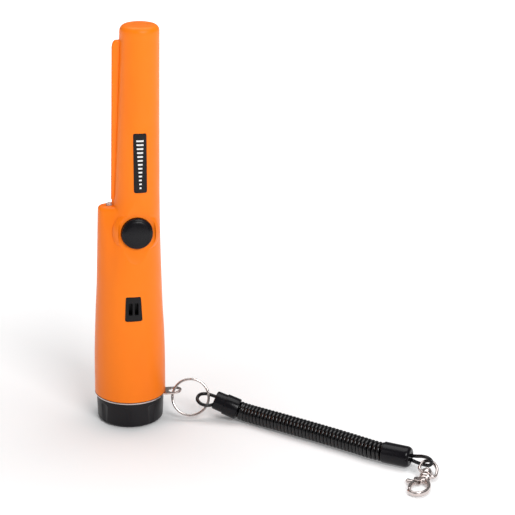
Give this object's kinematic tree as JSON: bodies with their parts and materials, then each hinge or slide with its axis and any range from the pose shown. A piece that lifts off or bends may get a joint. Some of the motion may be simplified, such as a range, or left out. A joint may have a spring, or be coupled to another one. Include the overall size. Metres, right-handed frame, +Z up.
{
  "type": "pinpointer probe",
  "caption": "Handheld metal-detecting pinpointer: tapered housing with scraping blade and lamp ledge, push button, screw battery cap and coiled lanyard with swivel clasp.",
  "frame": {"origin": "centre of the screw cap's flat foot, where the probe stands", "axes": "+Z up the probe towards its tip, -Y out of the button, -X towards the lamp ledge and blade"},
  "size_m": [0.182, 0.1543, 0.24],
  "materials": {
    "housing": "smooth orange moulded plastic with a soft sheen",
    "black_plastic": "satin black moulded plastic",
    "foam": "dark closed-cell foam",
    "rubber": "smooth black moulded rubber",
    "nickel": "polished nickel plating, slightly warm",
    "battery": "printed dark metal jacket",
    "red_wire": "red lead insulation",
    "black_wire": "black lead insulation",
    "board": "green solder mask on laminate",
    "steel": "plain bright steel",
    "chip": "black moulded package",
    "bobbin": "cream moulded plastic",
    "label": "printed black film",
    "lens": "clear moulded lens",
    "ferrite": "dull dark grey sintered ferrite",
    "copper": "enamelled copper wire",
    "cord": "glossy black cord jacket"
  },
  "bodies": {
    "housing": {"front_shell": "housing", "rear_shell": "housing", "label_plate": "label", "speaker_grille": "black_plastic", "sounder": "black_plastic", "main_board": "board", "controller_chip": "chip", "capacitor_1": "steel", "capacitor_2": "steel", "board_screw_1": "steel", "board_screw_2": "steel", "tact_switch": "chip", "lamp_lens": "lens", "lamp_emitter": "bobbin", "lamp_lead_1": "steel", "lamp_lead_2": "steel", "ferrite_rod": "ferrite", "coil_bobbin": "bobbin", "receive_winding": "copper", "transmit_winding": "copper", "tip_pad": "foam", "coil_lead_1": "copper", "coil_lead_2": "copper", "vibration_motor": "steel", "battery": "battery", "battery_snap": "rubber", "red_lead": "red_wire", "black_lead": "black_wire"},
    "button": {"power_button": "rubber"},
    "plunger": {"switch_plunger": "bobbin"},
    "seal": {"seal_ring": "rubber"},
    "cap": {"battery_cap": "black_plastic", "battery_pad": "foam"},
    "weight": {"motor_weight": "steel"},
    "washer": {"lanyard_washer": "nickel"},
    "ring": {"split_ring": "nickel"},
    "lanyard": {"cord_loop_near": "cord", "ferrule_near": "rubber", "coil_cord": "cord", "ferrule_far": "rubber", "cord_loop_far": "cord"},
    "eye": {"swivel_eye": "nickel"},
    "clasp": {"clasp_body": "nickel", "gate_pin": "steel"},
    "gate": {"clasp_gate": "nickel"}
  },
  "joints": [
    {"name": "button_press", "type": "slide", "parent": "housing", "child": "button", "axis": [0, 0.9951, -0.0993], "range_m": [0, 0.0008], "stiffness_N_per_m": 600},
    {"name": "plunger_press", "type": "slide", "parent": "housing", "child": "plunger", "axis": [0, 0.9951, -0.0993], "range_m": [0, 0.0008]},
    {"name": "cap_travel", "type": "slide", "parent": "housing", "child": "seal", "axis": [0, 0, -1], "range_m": [0, 0.0061]},
    {"name": "cap_turn", "type": "hinge", "parent": "seal", "child": "cap", "pos_m": [0, 0, 0], "axis": [0, 0, -1], "range_deg": [0, 720]},
    {"name": "motor_spin", "type": "hinge", "parent": "housing", "child": "weight", "pos_m": [0.00125, 0.008, 0.1], "axis": [0, 0, 1], "continuous": true},
    {"name": "washer_swivel", "type": "hinge", "parent": "housing", "child": "washer", "pos_m": [0, 0, 0.01635], "axis": [0, 0, 1], "continuous": true},
    {"name": "ring_swing", "type": "hinge", "parent": "washer", "child": "ring", "pos_m": [0.0256, -0.00686, 0.0169], "axis": [0, 0, 1], "range_deg": [-30, 30]},
    {"name": "lanyard_swing", "type": "hinge", "parent": "ring", "child": "lanyard", "pos_m": [0.046, -0.0127, 0.011], "axis": [0, 0, 1], "range_deg": [-6, 25]},
    {"name": "eye_swing", "type": "hinge", "parent": "lanyard", "child": "eye", "pos_m": [0.155, -0.1045, 0.0075], "axis": [0, 0, 1], "range_deg": [-15, 30]},
    {"name": "clasp_swivel", "type": "hinge", "parent": "eye", "child": "clasp", "pos_m": [0.153, -0.1126, 0.004], "axis": [-0.5, -0.77, -0.3964], "continuous": true},
    {"name": "gate_open", "type": "hinge", "parent": "clasp", "child": "gate", "pos_m": [0.14648, -0.11695, 0.0021], "axis": [0, 0, 1], "range_deg": [0, 22], "stiffness_Nm_per_rad": 0.01}
  ],
  "couplings": [
    {"joint": "plunger_press", "follows": "button_press", "ratio": 1},
    {"joint": "cap_travel", "follows": "cap_turn", "m_per_rad": 0.00047746}
  ]
}
